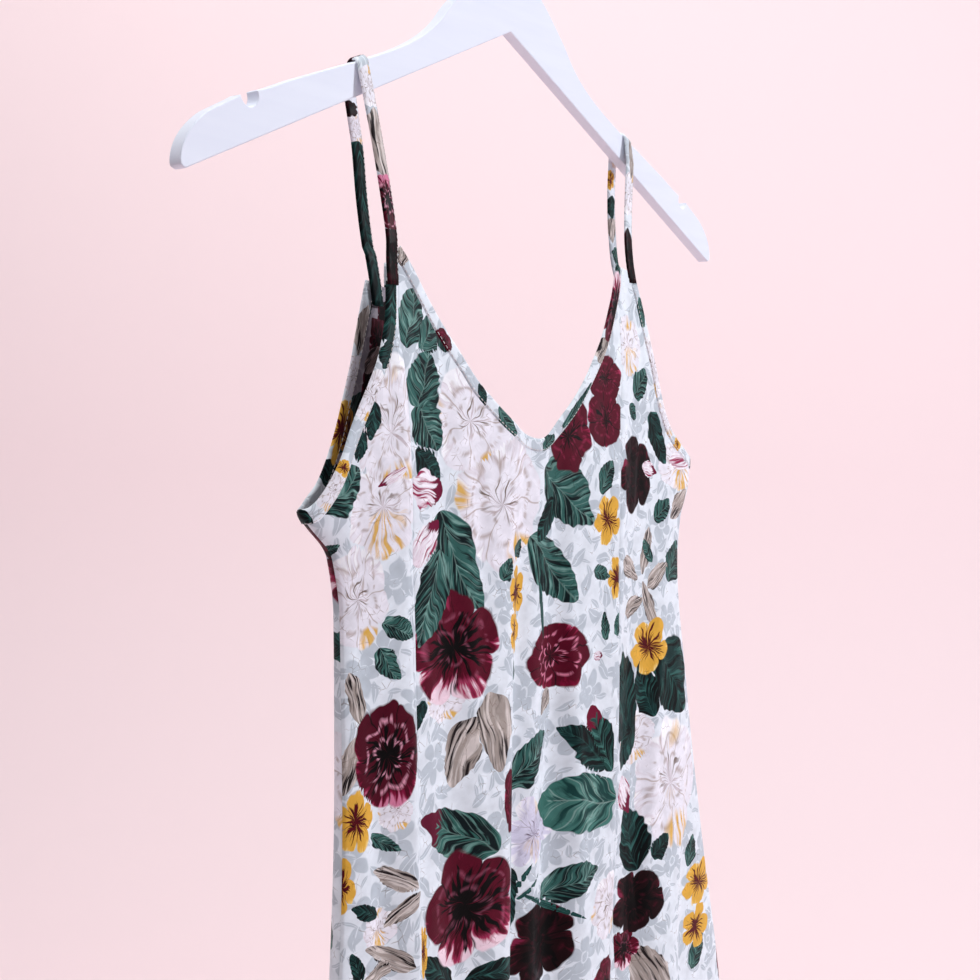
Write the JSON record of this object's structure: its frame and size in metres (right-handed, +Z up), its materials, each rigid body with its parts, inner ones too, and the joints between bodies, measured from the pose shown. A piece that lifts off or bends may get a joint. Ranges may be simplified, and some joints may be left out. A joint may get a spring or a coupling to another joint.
{
  "type": "slip dress on a hanger",
  "caption": "Printed satin slip dress with a scooped V neck, bound armholes and narrow straps, hung on a flat white wooden hanger with a wire hook.",
  "frame": {"origin": "top of the hook's inside, where the hook bears on its rail", "axes": "+X to the viewer's right as the dress's front faces them, +Y from front to back, +Z up"},
  "size_m": [0.4946, 0.0987, 1.0284],
  "materials": {
    "printed_satin": "white jacquard satin with a large flower print",
    "printed_binding": "folded strips of the same printed satin",
    "white_paint": "smooth white paint",
    "hook_wire": "bright plated wire"
  },
  "bodies": {
    "root": {"front_centre": "printed_satin", "front_side_left": "printed_satin", "front_side_right": "printed_satin", "back_panel": "printed_satin", "neck_binding_front": "printed_binding", "neck_binding_back": "printed_binding", "armhole_binding_left": "printed_binding", "armhole_binding_right": "printed_binding", "strap_left": "printed_binding", "strap_right": "printed_binding", "hanger": "white_paint", "hanger_hook": "hook_wire"}
  },
  "joints": []
}
